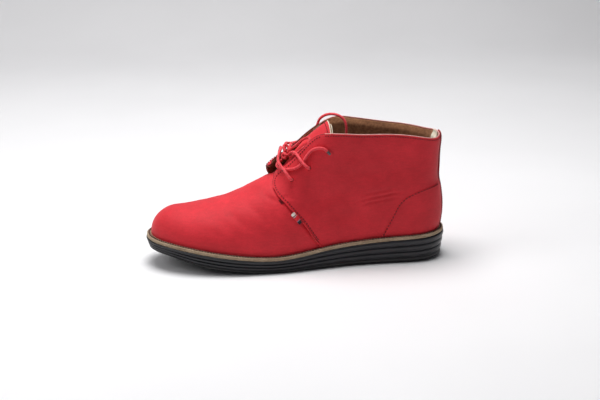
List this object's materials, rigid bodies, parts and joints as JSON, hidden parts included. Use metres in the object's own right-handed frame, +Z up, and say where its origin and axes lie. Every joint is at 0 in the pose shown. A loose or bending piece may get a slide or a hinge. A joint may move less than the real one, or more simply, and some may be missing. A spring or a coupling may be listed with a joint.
{
  "type": "chukka boot",
  "caption": "Left ankle-high chukka boot in red nubuck, laced loosely through two pairs of eyelets, on a dark ridged cup sole.",
  "frame": {"origin": "centre of the boot's box in plan, on the surface it stands on", "axes": "+X towards the heel along the boot's length, +Z up, +Y towards the medial side"},
  "size_m": [0.3102, 0.1039, 0.1489],
  "materials": {
    "leather_red": "matt nubuck",
    "lining_brown": "unfinished suede",
    "stiffener": "resin-stiffened felt",
    "collar_foam": "soft foam",
    "fibre_board": "pressed cellulose board",
    "footbed_cloth": "matt pigskin",
    "spring_steel": "rolled",
    "midsole_foam": "moulded satin",
    "outsole_rubber": "moulded matt",
    "welt_tan": "natural edge",
    "lace_red": "waxed round cotton",
    "aglet": "gloss",
    "eyelet_metal": "antiqued",
    "cream_tape": "grosgrain",
    "tab_ribbon": "woven"
  },
  "bodies": {
    "root": {"aglet_far": "aglet", "aglet_near": "aglet", "back_strip": "leather_red", "collar_foam_lateral": "collar_foam", "collar_foam_medial": "collar_foam", "eyelet_lateral_lower": "eyelet_metal", "eyelet_lateral_upper": "eyelet_metal", "eyelet_medial_lower": "eyelet_metal", "eyelet_medial_upper": "eyelet_metal", "facing_stay_lateral": "stiffener", "facing_stay_medial": "stiffener", "footbed": "footbed_cloth", "heel_counter": "stiffener", "heel_foxing_lateral": "leather_red", "heel_foxing_medial": "leather_red", "heel_tape": "cream_tape", "insole_board": "fibre_board", "lace_end_far": "lace_red", "lace_end_near": "lace_red", "lace_held": "lace_red", "lace_knot": "lace_red", "lace_loop_far": "lace_red", "lace_loop_near": "lace_red", "midsole": "midsole_foam", "outsole": "outsole_rubber", "quarter_lateral": "leather_red", "quarter_lining_lateral": "lining_brown", "quarter_lining_medial": "lining_brown", "quarter_medial": "leather_red", "shank": "spring_steel", "toe_puff": "stiffener", "vamp": "leather_red", "vamp_lining": "lining_brown", "welt": "welt_tan"},
    "tongue": {"tongue": "leather_red", "tongue_lining": "lining_brown"},
    "side_tab": {"side_tab": "tab_ribbon"}
  },
  "joints": [
    {"name": "tongue_tilt", "type": "hinge", "parent": "root", "child": "tongue", "pos_m": [-0.02225, 0, 0.0884], "axis": [0, 1, 0], "range_deg": [0, 8], "stiffness_Nm_per_rad": 0.3},
    {"name": "side_tab_flip", "type": "hinge", "parent": "root", "child": "side_tab", "pos_m": [-0.003, -0.04136, 0.05728], "axis": [-0.6378, 0.0724, 0.7668], "range_deg": [0, 100], "stiffness_Nm_per_rad": 0.0004}
  ]
}
